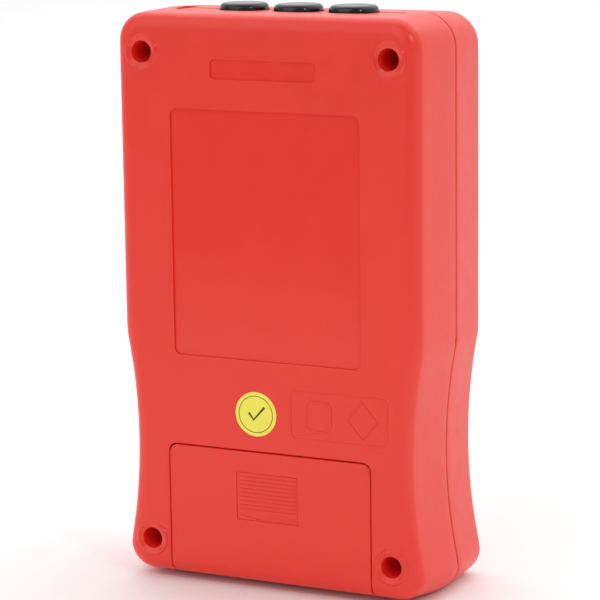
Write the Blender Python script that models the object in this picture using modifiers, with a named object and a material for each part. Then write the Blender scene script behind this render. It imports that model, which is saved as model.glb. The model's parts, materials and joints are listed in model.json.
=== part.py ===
"""A handheld component tester: a red two-shell case with three push buttons on its top end.

The case stands on its bottom edge. +Z is up, the display side faces -Y and the side with
the battery door faces +Y. The origin is at the centre of the bounding box's bottom.
Depths are counted from the back face, so a depth d lies at y = BACK - d.
"""

import math

import bmesh
import bpy
from mathutils import Vector

MM = 0.001
GAP = 0.3 * MM

# Case: driving dimensions
DEPTH = 38.0 * MM
HEIGHT = 143.0 * MM
HALF_WIDTH = 41.68 * MM
WALL = 2.2 * MM
BACK = DEPTH / 2
PARTING = 20.5 * MM
BACK_FILLET = 3.5 * MM
FRONT_FILLET = 3.0 * MM
TOP_CORNER = 8.5 * MM
BOTTOM_CORNER = 6.4 * MM
REAR_DRAFT = 0.072
FRONT_DRAFT = 0.022
TOP_DRAFT = 0.01
TOP_FRONT_DRAFT = 0.06
FOOT_NEAR = 15.5 * MM
FOOT_FAR = 30.0 * MM
FOOT_RISE = 0.129

# Waist: a long hollow arc in both sides
WAIST_HALF = 38.98 * MM
WAIST_Z = 36.1 * MM
WAIST_ARC = 133.0 * MM
SHOULDER_ARC = 7.0 * MM

# Lip that closes the parting line
LIP_IN = 1.25 * MM
RIM_WALL = 0.95 * MM
LIP_REACH = 1.45 * MM
RIM_REACH = 1.75 * MM

# Case screws
SCREW_X = 33.0 * MM
SCREW_Z = (10.24 * MM, 133.31 * MM)
BORE_R = 2.68 * MM
BORE_DEPTH = 15.0 * MM
RING_R = 4.55 * MM
RING_PROUD = 0.5 * MM
BOSS_R = 4.2 * MM
SHANK_R = 1.45 * MM
HEAD_R = 2.5 * MM
HEAD_DEPTH = 13.0 * MM

# Recesses in the back
LABEL_HALF = 25.46 * MM
LABEL_Z = (58.43 * MM, 119.76 * MM)
LABEL_SUNK = 0.5 * MM
SLOT_HALF = 14.17 * MM
SLOT_Z = (127.2 * MM, 132.0 * MM)
SLOT_SUNK = 0.35 * MM

# Battery door, tray and battery
DOOR_HALF = 27.46 * MM
DOOR_TOP = 35.26 * MM
DOOR_SIDE_GAP = 0.45 * MM
DOOR_TOP_GAP = 0.5 * MM
DOOR_WRAP = 12.0 * MM
DOOR_CORNER = 2.0 * MM
GRIP_HALF = 8.8 * MM
GRIP_Z = (17.85 * MM, 30.15 * MM)
GRIP_RIBS = 5
RAIL_IN = 26.2 * MM
RAIL_OUT = 28.1 * MM
RAIL_END = 3.6 * MM
TRAY_HALF = 28.1 * MM
TRAY_WALL = 1.2 * MM
TRAY_Z = (4.2 * MM, 33.9 * MM)
TRAY_END = 20.9 * MM
BATTERY_X = (-26.2 * MM, 20.0 * MM)
BATTERY_Z = (5.9 * MM, 31.9 * MM)
BATTERY_DEPTH = (2.8 * MM, 19.3 * MM)
TERMINAL_X = 2.0 * MM
TERMINAL_SPAN = 12.7 * MM
LEAD_R = 0.6 * MM

# Sticker and moulded frame on the back
STICKER_R = 5.6 * MM
STICKER_AT = (3.1 * MM, 45.1 * MM)
STICKER_THICK = 0.25 * MM

# Buttons on the top end
BUTTON_PITCH = 14.9 * MM
BUTTON_R = 6.1 * MM
BUTTON_EDGE = 1.2 * MM
BUTTON_PROUD = 1.7 * MM
BUTTON_TRAVEL = 0.8 * MM
POCKET_HALF = 31.0 * MM
POCKET_WIDE = 9.75 * MM
POCKET_SUNK = 0.45 * MM
POCKET_CORNER = 5.0 * MM
POCKET_FLOOR = HEIGHT - POCKET_SUNK
SWITCH_BOARD_Z = 130.0 * MM
BOARD_THICK = 1.6 * MM
SWITCH_HALF = 3.0 * MM
SWITCH_TALL = 3.6 * MM

# Main board and what stands on it
MAIN_HALF = 33.0 * MM
MAIN_Z = (18.0 * MM, 125.0 * MM)
MAIN_DEPTH = 26.5 * MM
MAIN_HOLE_X = 29.0 * MM
MAIN_HOLE_Z = (23.0 * MM, 80.0 * MM)

# Display
WINDOW_HALF = 30.0 * MM
WINDOW_Z = (90.0 * MM, 122.0 * MM)
WINDOW_THICK = 1.4 * MM
LCD_HALF = 27.5 * MM
LCD_Z = (91.5 * MM, 120.5 * MM)
LCD_VIEW_HALF = 24.0 * MM
LCD_VIEW_Z = (95.5 * MM, 116.5 * MM)

# Test socket in the front
SOCKET_X = (-20.0 * MM, 17.0 * MM)
SOCKET_Z = (38.0 * MM, 53.0 * MM)
SOCKET_FACE = 0.5 * MM
MOUTH_X = (-23.0 * MM, 24.0 * MM)
MOUTH_Z = (35.5 * MM, 59.5 * MM)
LEVER_X = -16.5 * MM
LEVER_DEEP = 2.6 * MM
LEVER_Z = 54.9 * MM
LEVER_HUB_R = 2.2 * MM
LEVER_R = 0.95 * MM
LEVER_REACH = 34.0 * MM
SLOT_COUNT = 7
SLOT_PITCH = 4.2 * MM


def clear_scene():
    for old in list(bpy.data.objects):
        bpy.data.objects.remove(old, do_unlink=True)


def make_collection(name):
    made = bpy.data.collections.new(name)
    bpy.context.scene.collection.children.link(made)
    return made


def material(name, colour, roughness, metallic=0.0):
    made = bpy.data.materials.new(name)
    made.use_nodes = True
    shader = made.node_tree.nodes["Principled BSDF"]
    shader.inputs["Base Color"].default_value = (*colour, 1.0)
    shader.inputs["Roughness"].default_value = roughness
    shader.inputs["Metallic"].default_value = metallic
    return made


def back_y(depth):
    """The y of a depth counted from the back face."""
    return BACK - depth


def mesh_object(name, mesh_data, paint=None, smooth=True):
    """A part with a material, or a cutter when it has none."""
    made = bpy.data.objects.new(name, mesh_data)
    (PARTS if paint else CUTTERS).objects.link(made)
    if smooth:
        mesh_data.shade_smooth()
        mesh_data.set_sharp_from_angle(angle=math.radians(35))
    if paint:
        mesh_data.materials.append(paint)
    else:
        made.hide_render = True
        made.display_type = "WIRE"
    return made


def from_bmesh(name, work, paint=None):
    bmesh.ops.recalc_face_normals(work, faces=work.faces)
    mesh_data = bpy.data.meshes.new(name)
    work.to_mesh(mesh_data)
    work.free()
    return mesh_object(name, mesh_data, paint)


def box(name, low, high, paint=None, bevel=0.0):
    """A block between two corners, with its origin at its centre."""
    low = Vector(low)
    high = Vector(high)
    work = bmesh.new()
    bmesh.ops.create_cube(work, size=1.0)
    bmesh.ops.scale(work, vec=high - low, verts=work.verts)
    made = from_bmesh(name, work, paint)
    made.location = (low + high) / 2
    if bevel:
        add_bevel(made, bevel, 2)
    return made


def rod(name, centre, radius, length, axis, paint=None, sides=24):
    """A cylinder that starts at centre and runs along one of the six directions."""
    work = bmesh.new()
    bmesh.ops.create_cone(work, cap_ends=True, segments=sides, radius1=radius, radius2=radius, depth=length)
    bmesh.ops.translate(work, vec=(0, 0, length / 2), verts=work.verts)
    made = from_bmesh(name, work, paint)
    made.location = centre
    made.rotation_mode = "QUATERNION"
    made.rotation_quaternion = Vector((0, 0, 1)).rotation_difference(Vector(axis))
    return made


def slab(name, half, z_span, depth_span, corner, paint=None):
    """A flat plate with rounded corners, parallel to the back face."""
    made = box(
        name,
        (-half, back_y(depth_span[1]), z_span[0]),
        (half, back_y(depth_span[0]), z_span[1]),
        paint,
    )
    round_edges_along(made, 1, corner)
    return made


def round_edges_along(made, axis, radius):
    """Rounds the four edges that run along one axis of a box."""
    work = bmesh.new()
    work.from_mesh(made.data)
    chosen = [e for e in work.edges if abs((e.verts[0].co - e.verts[1].co).normalized()[axis]) > 0.99]
    bmesh.ops.bevel(work, geom=chosen, offset=radius, segments=4, profile=0.5, affect="EDGES")
    bmesh.ops.recalc_face_normals(work, faces=work.faces)
    work.to_mesh(made.data)
    work.free()


def turned(name, profile, centre, paint, sides=24):
    """A solid of revolution about +Z from (radius, z) points that run down its outer side."""
    work = bmesh.new()
    points = [work.verts.new((radius, 0.0, z)) for radius, z in profile]
    for upper, lower in zip(points, points[1:]):
        work.edges.new((upper, lower))
    mesh_data = bpy.data.meshes.new(name)
    work.to_mesh(mesh_data)
    work.free()
    made = mesh_object(name, mesh_data, paint, smooth=False)
    made.location = centre
    screw = made.modifiers.new("Turn", "SCREW")
    screw.steps = sides
    screw.render_steps = sides
    screw.use_merge_vertices = True
    screw.merge_threshold = 0.00001
    screw.use_smooth_shade = True
    return made


def add_bevel(made, width, segments):
    bevel = made.modifiers.new("Bevel", "BEVEL")
    bevel.width = width
    bevel.segments = segments
    bevel.limit_method = "ANGLE"
    return bevel


def combine(made, other, operation):
    """Cuts or joins another mesh, which becomes a helper."""
    if other.name in PARTS.objects:
        PARTS.objects.unlink(other)
        CUTTERS.objects.link(other)
    other.hide_render = True
    other.display_type = "WIRE"
    step = made.modifiers.new(other.name, "BOOLEAN")
    step.operation = operation
    step.object = other
    return step


def cut(made, *others):
    for other in others:
        combine(made, other, "DIFFERENCE")


def join(made, *others):
    for other in others:
        combine(made, other, "UNION")


# The case's outline and its shells


def arc(centre, radius, start, end, steps):
    """Points on an arc in the XZ plane, angles in degrees from +X."""
    turns = [math.radians(start + (end - start) * i / steps) for i in range(steps + 1)]
    return [(centre[0] + radius * math.cos(t), centre[1] + radius * math.sin(t)) for t in turns]


def outline(side, bottom, top, low_r, high_r):
    """The case's outline with its corner radii, drawn in by side, bottom and top, as (x, z) points."""
    half = HALF_WIDTH - side
    shoulder_r = SHOULDER_ARC - side
    waist_r = WAIST_ARC + side
    waist_x = WAIST_HALF + WAIST_ARC
    low_turn = math.asin((WAIST_Z - bottom - low_r) / (waist_r + low_r))
    low_x = waist_x - (waist_r + low_r) * math.cos(low_turn)
    high_turn = math.acos((waist_x - half + shoulder_r) / (waist_r + shoulder_r))
    shoulder_z = WAIST_Z + (waist_r + shoulder_r) * math.sin(high_turn)
    low_deg = math.degrees(low_turn)
    high_deg = math.degrees(high_turn)
    right = arc((low_x, bottom + low_r), low_r, -90, low_deg, 8)
    right += arc((waist_x, WAIST_Z), waist_r, 180 + low_deg, 180 - high_deg, 10)[1:-1]
    right += arc((half - shoulder_r, shoulder_z), shoulder_r, -high_deg, 0, 2)
    right += arc((half - high_r, HEIGHT - top - high_r), high_r, 0, 90, 8)
    return right + [(-x, z) for x, z in reversed(right)]


def draw_in(depth):
    """How far the outer surface lies inside the parting line's outline at a depth: side, bottom, top."""
    rear = max(0.0, PARTING - depth)
    front = max(0.0, depth - PARTING)
    side = rear * REAR_DRAFT + front * FRONT_DRAFT
    top = rear * TOP_DRAFT + front * TOP_FRONT_DRAFT
    bottom = max(0.0, FOOT_NEAR - depth) * FOOT_RISE + max(0.0, depth - FOOT_FAR) * FRONT_DRAFT
    return side, bottom, top


def ring(depth, inset=0.0):
    """One cross-section of the case, inset from its outer surface."""
    side, bottom, top = draw_in(depth)
    low_r = BOTTOM_CORNER - inset
    high_r = TOP_CORNER - side - inset
    points = outline(side + inset, bottom + inset, top + inset, low_r, high_r)
    return [(x, back_y(depth), z) for x, z in points]


def fillet_rings(face, inward, radius, steps=5):
    """Rings round the edge of the back or front face, from the side of the case to the face."""
    rings = []
    for i in range(steps + 1):
        turn = math.pi / 2 * i / steps
        depth = face + inward * radius * (1 - math.sin(turn))
        rings.append(ring(depth, radius * (1 - math.cos(turn))))
    return rings


def loft(name, rings, paint=None):
    """A closed solid through rings with equal numbers of points."""
    work = bmesh.new()
    loops = [[work.verts.new(point) for point in points] for points in rings]
    count = len(loops[0])
    for near, far in zip(loops, loops[1:]):
        for i in range(count):
            j = (i + 1) % count
            work.faces.new((near[i], near[j], far[j], far[i]))
    work.faces.new(loops[0])
    work.faces.new(loops[-1])
    return from_bmesh(name, work, paint)


def screw_places():
    return [(x, z) for z in SCREW_Z for x in (-SCREW_X, SCREW_X)]


def button_places():
    return [-BUTTON_PITCH, 0.0, BUTTON_PITCH]


def add_bosses(shell, near, far, ringed):
    """A screw boss between two depths at each corner, ringed where it shows on the back."""
    for i, (x, z) in enumerate(screw_places()):
        tag = f"{shell.name}_{i + 1}"
        join(shell, rod(f"boss_{tag}", (x, back_y(far), z), BOSS_R, far - near, (0, 1, 0)))
        if ringed:
            pad = rod(f"ring_{tag}", (x, back_y(1.0 * MM), z), RING_R, 1.0 * MM + RING_PROUD, (0, 1, 0))
            add_bevel(pad, 0.45 * MM, 3)
            join(shell, pad)


def bore_bosses(shell, spans):
    """Bores each boss: spans holds (radius, near depth, far depth)."""
    for i, (x, z) in enumerate(screw_places()):
        for j, (radius, near, far) in enumerate(spans):
            name = f"bore_{shell.name}_{i + 1}_{j + 1}"
            cut(shell, rod(name, (x, back_y(far), z), radius, far - near, (0, 1, 0)))


def button_cutters(shell):
    """The shallow pocket in the top end and the three holes in its floor."""
    pocket = box(
        f"pocket_{shell.name}",
        (-POCKET_HALF, back_y(PARTING) - POCKET_WIDE, POCKET_FLOOR),
        (POCKET_HALF, back_y(PARTING) + POCKET_WIDE, HEIGHT + 2 * MM),
    )
    round_edges_along(pocket, 2, POCKET_CORNER)
    cut(shell, pocket)
    for i, x in enumerate(button_places()):
        start = (x, back_y(PARTING), HEIGHT - 6 * MM)
        cut(shell, rod(f"hole_{shell.name}_{i + 1}", start, BUTTON_R + GAP, 8 * MM, (0, 0, 1), sides=32))


def make_rear_shell(paint):
    outer = [ring(PARTING - GAP / 2)] + fillet_rings(0.0, 1.0, BACK_FILLET)
    inner = [
        ring(WALL, WALL + 0.8 * MM),
        ring(WALL + 1.0 * MM, WALL),
        ring(PARTING - GAP / 2 - RIM_REACH, WALL),
        ring(PARTING - GAP / 2 - RIM_REACH, RIM_WALL),
        ring(PARTING - GAP / 2, RIM_WALL),
    ]
    shell = loft("rear_shell", inner + outer, paint)
    add_bosses(shell, WALL - 0.2 * MM, PARTING - GAP / 2, True)
    spans = ((BORE_R, -2 * MM, BORE_DEPTH), (SHANK_R + GAP, BORE_DEPTH - MM, PARTING + MM))
    bore_bosses(shell, spans)
    cut(shell, slab("label_recess", LABEL_HALF, LABEL_Z, (-2 * MM, LABEL_SUNK), 1.8 * MM))
    cut(shell, slab("slot_recess", SLOT_HALF, SLOT_Z, (-2 * MM, SLOT_SUNK), 1.2 * MM))
    door_half = DOOR_HALF + DOOR_SIDE_GAP
    door_span = (-5 * MM, DOOR_TOP + DOOR_TOP_GAP)
    doorway = box(
        "doorway",
        (-door_half, back_y(DOOR_WRAP + DOOR_TOP_GAP), door_span[0]),
        (door_half, back_y(-2 * MM), door_span[1]),
    )
    round_edges_along(doorway, 1, DOOR_CORNER)
    cut(shell, doorway)
    for side in (-1, 1):
        edges = sorted((side * (RAIL_IN - MM), side * (RAIL_OUT + GAP)))
        cut(shell, box(
            f"rail_slot_{side + 2}",
            (edges[0], back_y(RAIL_END + GAP), -5 * MM),
            (edges[1], back_y(WALL), DOOR_TOP + DOOR_TOP_GAP),
        ))
    button_cutters(shell)
    return shell


def make_front_shell(paint):
    near = PARTING + GAP / 2
    outer = [ring(near)] + fillet_rings(DEPTH, -1.0, FRONT_FILLET)
    inner = [
        ring(DEPTH - WALL, WALL + 0.8 * MM),
        ring(DEPTH - WALL - 1.0 * MM, WALL),
        ring(near - LIP_REACH, WALL),
        ring(near - LIP_REACH, LIP_IN),
        ring(near, LIP_IN),
    ]
    shell = loft("front_shell", inner + outer, paint)
    add_bosses(shell, PARTING + GAP / 2, DEPTH - WALL + 0.2 * MM, False)
    bore_bosses(shell, ((SHANK_R + GAP, PARTING - MM, DEPTH - 4 * MM),))
    for i, (x, z) in enumerate(board_screw_places()):
        near = MAIN_DEPTH + BOARD_THICK + GAP
        post = rod(f"post_{i + 1}", (x, back_y(DEPTH - WALL + 0.2 * MM), z), 3.0 * MM,
                   DEPTH - WALL + 0.2 * MM - near, (0, 1, 0))
        join(shell, post)
        hole = rod(f"post_bore_{i + 1}", (x, back_y(near + 6.5 * MM), z), 1.3 * MM, 7.5 * MM, (0, 1, 0))
        cut(shell, hole)
    cut(shell, slab("window_seat", WINDOW_HALF + GAP, (WINDOW_Z[0] - GAP, WINDOW_Z[1] + GAP),
                    (DEPTH - WINDOW_THICK - 0.2 * MM, DEPTH + 2 * MM), 3.0 * MM))
    cut(shell, slab("window_hole", LCD_VIEW_HALF + 2 * MM, (LCD_VIEW_Z[0] - 2 * MM, LCD_VIEW_Z[1] + 2 * MM),
                    (DEPTH - 5 * MM, DEPTH + 2 * MM), 1.5 * MM))
    mouth = box("socket_mouth", (MOUTH_X[0], back_y(DEPTH + 2 * MM), MOUTH_Z[0]),
                (MOUTH_X[1], back_y(DEPTH - 5 * MM), MOUTH_Z[1]))
    round_edges_along(mouth, 1, 2.0 * MM)
    cut(shell, mouth)
    button_cutters(shell)
    return shell


def board_screw_places():
    return [(x, z) for z in MAIN_HOLE_Z for x in (-MAIN_HOLE_X, MAIN_HOLE_X)]


def make_case_screws(paint):
    """Four screws that hold the shells together, deep in the rear bosses."""
    profile = (
        (0.0, 2.0 * MM), (1.6 * MM, 2.0 * MM), (2.2 * MM, 1.6 * MM), (HEAD_R, 0.9 * MM), (HEAD_R, GAP),
        (SHANK_R, GAP), (SHANK_R, -16.0 * MM), (0.7 * MM, -18.0 * MM), (0.0, -18.0 * MM),
    )
    for i, (x, z) in enumerate(screw_places()):
        screw = turned(f"case_screw_{i + 1}", profile, (x, back_y(BORE_DEPTH), z), paint, sides=16)
        screw.rotation_euler = (-math.pi / 2, 0.0, 0.0)
        for j, size in enumerate(((0.35, 1.6), (1.6, 0.35))):
            slot = box(f"cross_{i + 1}_{j + 1}",
                       (x - size[0] * MM, back_y(HEAD_DEPTH + 0.9 * MM), z - size[1] * MM),
                       (x + size[0] * MM, back_y(HEAD_DEPTH - MM), z + size[1] * MM))
            cut(screw, slot)


# Battery door, tray, battery


def make_battery_door(paint):
    """The part of the rear shell's skin over the battery, which slides down and off."""
    outer = [ring(PARTING - GAP / 2)] + fillet_rings(0.0, 1.0, BACK_FILLET)
    inner = [
        ring(WALL, WALL + 0.8 * MM),
        ring(WALL + 1.0 * MM, WALL),
        ring(PARTING - GAP / 2, WALL),
    ]
    door = loft("battery_door", inner + outer, paint)
    keep = box("door_outline", (-DOOR_HALF, back_y(DOOR_WRAP), -5 * MM), (DOOR_HALF, back_y(-MM), DOOR_TOP))
    round_edges_along(keep, 1, DOOR_CORNER)
    combine(door, keep, "INTERSECT")
    for side in (-1, 1):
        edges = sorted((side * RAIL_IN, side * RAIL_OUT))
        join(door, box(
            f"rail_{side + 2}",
            (edges[0], back_y(RAIL_END), 8 * MM),
            (edges[1], back_y(WALL + GAP), DOOR_TOP - 2 * MM),
        ))
        foot = sorted((side * RAIL_IN, side * (DOOR_HALF - 0.2 * MM)))
        join(door, box(
            f"rail_foot_{side + 2}",
            (foot[0], back_y(RAIL_END - 0.1 * MM), 8.2 * MM),
            (foot[1], back_y(WALL - 0.5 * MM), DOOR_TOP - 2.2 * MM),
        ))
    tall = GRIP_Z[1] - GRIP_Z[0]
    pitch = 2.0 * MM
    for i in range(GRIP_RIBS + 1):
        z = GRIP_Z[1] - 1.3 * MM - pitch * i
        cut(door, box(f"grip_groove_{i + 1}", (-GRIP_HALF + 1.2 * MM, back_y(0.5 * MM), z - 0.5 * MM),
                      (GRIP_HALF - 1.2 * MM, back_y(-MM), z + 0.5 * MM)))
    for side in (-1, 1):
        edge = sorted((side * GRIP_HALF, side * (GRIP_HALF - 0.5 * MM)))
        cut(door, box(f"grip_edge_{side + 2}", (edge[0], back_y(0.3 * MM), GRIP_Z[0]),
                      (edge[1], back_y(-MM), GRIP_Z[0] + tall)))
    return door


def make_battery_tray(paint):
    """An open box behind the door that keeps the battery from the boards."""
    near = RAIL_END + 2 * GAP
    tray = box("battery_tray", (-TRAY_HALF, back_y(TRAY_END), TRAY_Z[0]),
               (TRAY_HALF, back_y(near), TRAY_Z[1]), paint)
    cut(tray, box("tray_hollow",
                  (-TRAY_HALF + TRAY_WALL, back_y(TRAY_END - TRAY_WALL), TRAY_Z[0] + TRAY_WALL),
                  (TRAY_HALF - TRAY_WALL, back_y(near - 2 * MM), TRAY_Z[1] - TRAY_WALL)))
    cut(tray, box("tray_notch", (21.0 * MM, back_y(15 * MM), TRAY_Z[1] - 3 * MM),
                  (26.4 * MM, back_y(near - 2 * MM), TRAY_Z[1] + 2 * MM)))
    return tray


def make_battery(case_paint, metal_paint):
    low = (BATTERY_X[0], back_y(BATTERY_DEPTH[1]), BATTERY_Z[0])
    high = (BATTERY_X[1], back_y(BATTERY_DEPTH[0]), BATTERY_Z[1])
    box("battery", low, high, case_paint, bevel=1.0 * MM)
    middle_y = (low[1] + high[1]) / 2
    middle_z = (low[2] + high[2]) / 2
    for name, way, sides in (("battery_stud", 1, 20), ("battery_socket", -1, 6)):
        place = (BATTERY_X[1] + GAP, middle_y, middle_z + way * TERMINAL_SPAN / 2)
        radius = 2.8 * MM if sides > 6 else 3.9 * MM
        rod(name, place, radius, TERMINAL_X, (1, 0, 0), metal_paint, sides)
    return middle_y, middle_z


def make_snap_connector(middle_y, middle_z, paint):
    """The clip-on cap over the battery's two terminals."""
    start = BATTERY_X[1] + 2 * GAP
    snap = box("snap_connector", (start, middle_y - 6.2 * MM, middle_z - 12.6 * MM),
               (start + 4.6 * MM, middle_y + 6.2 * MM, middle_z + 12.6 * MM), paint)
    round_edges_along(snap, 0, 3.0 * MM)
    for way, radius in ((1, 3.2 * MM), (-1, 4.3 * MM)):
        place = (start - MM, middle_y, middle_z + way * TERMINAL_SPAN / 2)
        cut(snap, rod(f"snap_seat_{way + 2}", place, radius, MM + TERMINAL_X + GAP, (1, 0, 0)))


def bezier_point(points, t):
    """A point on the smooth curve through four control points."""
    a, b, c, d = points
    s = 1 - t
    return a * s ** 3 + 3 * b * s ** 2 * t + 3 * c * s * t ** 2 + d * t ** 3


def make_lead(name, start, end, paint):
    """A wire that leaves the snap cap upwards, through the tray's notch, and bends down onto the board."""
    start = Vector(start)
    end = Vector(end)
    control = (start, start + Vector((0, 0, 10 * MM)), end + Vector((0, 9 * MM, 0)), end)
    data = bpy.data.curves.new(name, "CURVE")
    data.dimensions = "3D"
    data.bevel_depth = LEAD_R
    data.bevel_resolution = 2
    data.use_fill_caps = True
    line = data.splines.new("POLY")
    steps = 14
    line.points.add(steps)
    for i in range(steps + 1):
        line.points[i].co = (*bezier_point(control, i / steps), 1.0)
    made = bpy.data.objects.new(name, data)
    PARTS.objects.link(made)
    data.materials.append(paint)


# Top end


def make_buttons(paint):
    """Three caps on the top end, each with a retaining flange and a stem that meets its switch."""
    top = BUTTON_PROUD
    below = -(WALL - POCKET_SUNK) - 3 * GAP
    profile = [(0.0, top), (BUTTON_R - BUTTON_EDGE, top)]
    for i in range(1, 5):
        turn = math.pi / 2 * i / 4
        profile.append((
            BUTTON_R - BUTTON_EDGE * (1 - math.sin(turn)),
            top - BUTTON_EDGE * (1 - math.cos(turn)),
        ))
    stem_end = SWITCH_BOARD_Z + BOARD_THICK + SWITCH_TALL + GAP + 1.0 * MM - POCKET_FLOOR
    profile += [
        (BUTTON_R, below), (7.1 * MM, below), (7.1 * MM, below - 1.2 * MM),
        (2.0 * MM, below - 1.2 * MM), (2.0 * MM, stem_end + BUTTON_TRAVEL), (0.0, stem_end + BUTTON_TRAVEL),
    ]
    for name, x in zip(("button_right", "button_middle", "button_left"), button_places()):
        turned(name, profile, (x, back_y(PARTING), POCKET_FLOOR), paint)


def make_switches(board_paint, body_paint):
    y = back_y(PARTING)
    box("switch_board", (-23 * MM, y - 7.5 * MM, SWITCH_BOARD_Z),
        (23 * MM, y + 9.0 * MM, SWITCH_BOARD_Z + BOARD_THICK), board_paint)
    low = SWITCH_BOARD_Z + BOARD_THICK + GAP
    for i, x in enumerate(button_places()):
        body = box(f"switch_{i + 1}", (x - SWITCH_HALF, y - SWITCH_HALF, low),
                   (x + SWITCH_HALF, y + SWITCH_HALF, low + SWITCH_TALL), body_paint)
        join(body, rod(f"plunger_{i + 1}", (x, y, low + SWITCH_TALL - MM), 1.75 * MM, 1.9 * MM, (0, 0, 1)))


# Boards and parts


def make_main_board(board_paint, screw_paint):
    board = box("main_board", (-MAIN_HALF, back_y(MAIN_DEPTH + BOARD_THICK), MAIN_Z[0]),
                (MAIN_HALF, back_y(MAIN_DEPTH), MAIN_Z[1]), board_paint)
    round_edges_along(board, 1, 2.0 * MM)
    profile = (
        (0.0, 1.5 * MM), (1.8 * MM, 1.5 * MM), (2.3 * MM, 0.9 * MM), (2.3 * MM, GAP),
        (1.0 * MM, GAP), (1.0 * MM, -7.0 * MM), (0.0, -7.0 * MM),
    )
    for i, (x, z) in enumerate(board_screw_places()):
        start = (x, back_y(MAIN_DEPTH + 3 * MM), z)
        hole = rod(f"board_hole_{i + 1}", start, 1.4 * MM, 6 * MM, (0, 1, 0), sides=16)
        cut(board, hole)
        screw = turned(f"board_screw_{i + 1}", profile, (x, back_y(MAIN_DEPTH), z), screw_paint, sides=16)
        screw.rotation_euler = (-math.pi / 2, 0.0, 0.0)


def make_board_parts(chip_paint, can_paint, metal_paint):
    """The microcontroller, crystal, regulator and two capacitors on the board's back side."""
    near = MAIN_DEPTH - GAP
    box("microcontroller", (-18 * MM, back_y(near), 62 * MM), (-7 * MM, back_y(near - 3.3 * MM), 97 * MM),
        chip_paint, bevel=0.3 * MM)
    box("crystal", (-1.5 * MM, back_y(near), 76 * MM), (3.0 * MM, back_y(near - 3.6 * MM), 87 * MM),
        metal_paint, bevel=1.2 * MM)
    box("regulator", (14 * MM, back_y(near), 42 * MM), (24 * MM, back_y(near - 4.5 * MM), 51 * MM),
        chip_paint, bevel=0.3 * MM)
    for i, x in enumerate((12 * MM, 22 * MM)):
        can = rod(f"capacitor_{i + 1}", (x, back_y(near), 62 * MM), 3.2 * MM, 9.0 * MM, (0, 1, 0), can_paint)
        add_bevel(can, 0.5 * MM, 2)


def make_display(board_paint, frame_paint, glass_paint, window_paint):
    """A liquid crystal module behind a clear window in the front."""
    board_far = MAIN_DEPTH + BOARD_THICK + 2.5 * MM
    box("lcd_board", (-30 * MM, back_y(board_far), 88.5 * MM),
        (30 * MM, back_y(board_far - 1.2 * MM), 123.5 * MM),
        board_paint)
    near = board_far + GAP
    far = DEPTH - WALL - GAP
    frame = box("lcd_frame", (-LCD_HALF, back_y(far), LCD_Z[0]), (LCD_HALF, back_y(near), LCD_Z[1]),
                frame_paint)
    view = box("lcd_view", (-LCD_VIEW_HALF, back_y(far + MM), LCD_VIEW_Z[0]),
               (LCD_VIEW_HALF, back_y(near + 1.5 * MM), LCD_VIEW_Z[1]))
    cut(frame, view)
    box("lcd_glass", (-LCD_VIEW_HALF + GAP, back_y(far - 0.6 * MM), LCD_VIEW_Z[0] + GAP),
        (LCD_VIEW_HALF - GAP, back_y(near + 1.5 * MM + GAP), LCD_VIEW_Z[1] - GAP), glass_paint)
    slab("display_window", WINDOW_HALF, WINDOW_Z, (DEPTH - WINDOW_THICK, DEPTH), 3.0 * MM, window_paint)


def make_socket(body_paint, lever_paint):
    """A zero-force test socket with two rows of slots and a lever along its upper side."""
    near = MAIN_DEPTH + BOARD_THICK + GAP
    far = DEPTH - SOCKET_FACE
    body = box("socket_base", (SOCKET_X[0], back_y(far), SOCKET_Z[0]),
               (SOCKET_X[1], back_y(near), SOCKET_Z[1]),
               body_paint)
    middle = (SOCKET_Z[0] + SOCKET_Z[1]) / 2
    for i in range(SLOT_COUNT):
        x = SOCKET_X[0] + 7.5 * MM + SLOT_PITCH * i
        for way in (-1, 1):
            z = middle + way * 4.2 * MM
            cut(body, box(f"contact_{i + 1}_{way + 2}", (x - 0.5 * MM, back_y(far + MM), z - 1.1 * MM),
                          (x + 0.5 * MM, back_y(far - 4 * MM), z + 1.1 * MM)))
    y = back_y(DEPTH - LEVER_DEEP)
    start = LEVER_Z - 1.2 * MM
    lever = rod("socket_lever", (LEVER_X, y, start), LEVER_HUB_R, 2.4 * MM, (0, 0, 1), lever_paint)
    join(lever, rod("lever_arm", (LEVER_X, y, LEVER_Z), LEVER_R, LEVER_REACH, (1, 0, 0), sides=16))
    start = (LEVER_X + LEVER_REACH - 2 * MM, y, LEVER_Z)
    knob = rod("lever_knob", start, 1.7 * MM, 6.0 * MM, (1, 0, 0), sides=20)
    add_bevel(knob, 0.5 * MM, 2)
    join(lever, knob)


def make_sticker(paint):
    x, z = STICKER_AT
    rod("round_sticker", (x, BACK + GAP / 2, z), STICKER_R, STICKER_THICK, (0, 1, 0), paint, sides=40)


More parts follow.
